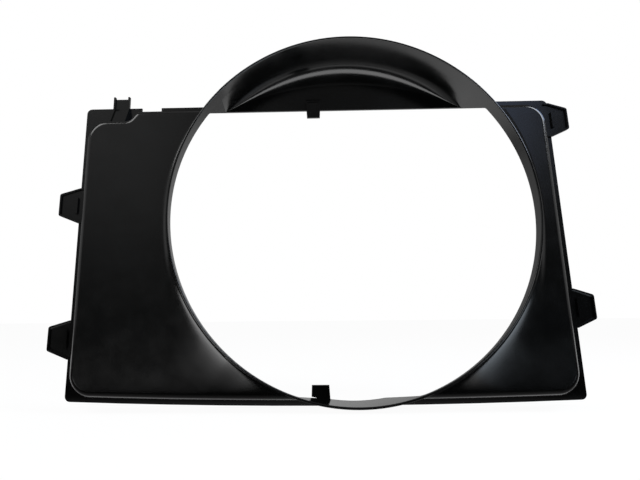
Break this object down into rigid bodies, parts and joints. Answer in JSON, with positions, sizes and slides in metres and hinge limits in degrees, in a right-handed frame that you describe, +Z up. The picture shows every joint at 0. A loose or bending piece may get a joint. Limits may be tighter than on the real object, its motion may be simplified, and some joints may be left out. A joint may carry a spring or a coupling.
{
  "type": "radiator fan shroud",
  "caption": "Moulded plastic fan shroud: flat flange, raised pan with a round fan ring and a hood over its top, side ears and a hose clip.",
  "frame": {"origin": "on the fan's axis, in the plane of the flange's back that meets the radiator", "axes": "+X to the right seen from the engine, -Y along the fan's axis towards the engine, +Z up"},
  "size_m": [0.702, 0.0732, 0.4665],
  "materials": {
    "black_plastic": "satin black, moulded"
  },
  "bodies": {
    "root": {"fan_ring": "black_plastic", "hood_back_wall": "black_plastic", "hood_roof": "black_plastic", "hood_cheek_left": "black_plastic", "hood_cheek_right": "black_plastic", "flange_left": "black_plastic", "flange_right": "black_plastic", "flange_top_left": "black_plastic", "flange_top_right": "black_plastic", "flange_bottom": "black_plastic", "ring_sill": "black_plastic", "left_panel": "black_plastic", "right_panel": "black_plastic", "pan_wall_left": "black_plastic", "pan_wall_right": "black_plastic", "pan_wall_top_left": "black_plastic", "pan_wall_top_right": "black_plastic", "pan_wall_bottom_left": "black_plastic", "pan_wall_bottom_right": "black_plastic", "ear_left_lower": "black_plastic", "ear_left_upper": "black_plastic", "ear_right_lower": "black_plastic", "ear_right_upper": "black_plastic", "hose_clip": "black_plastic", "top_finger": "black_plastic", "bottom_finger": "black_plastic"}
  },
  "joints": []
}
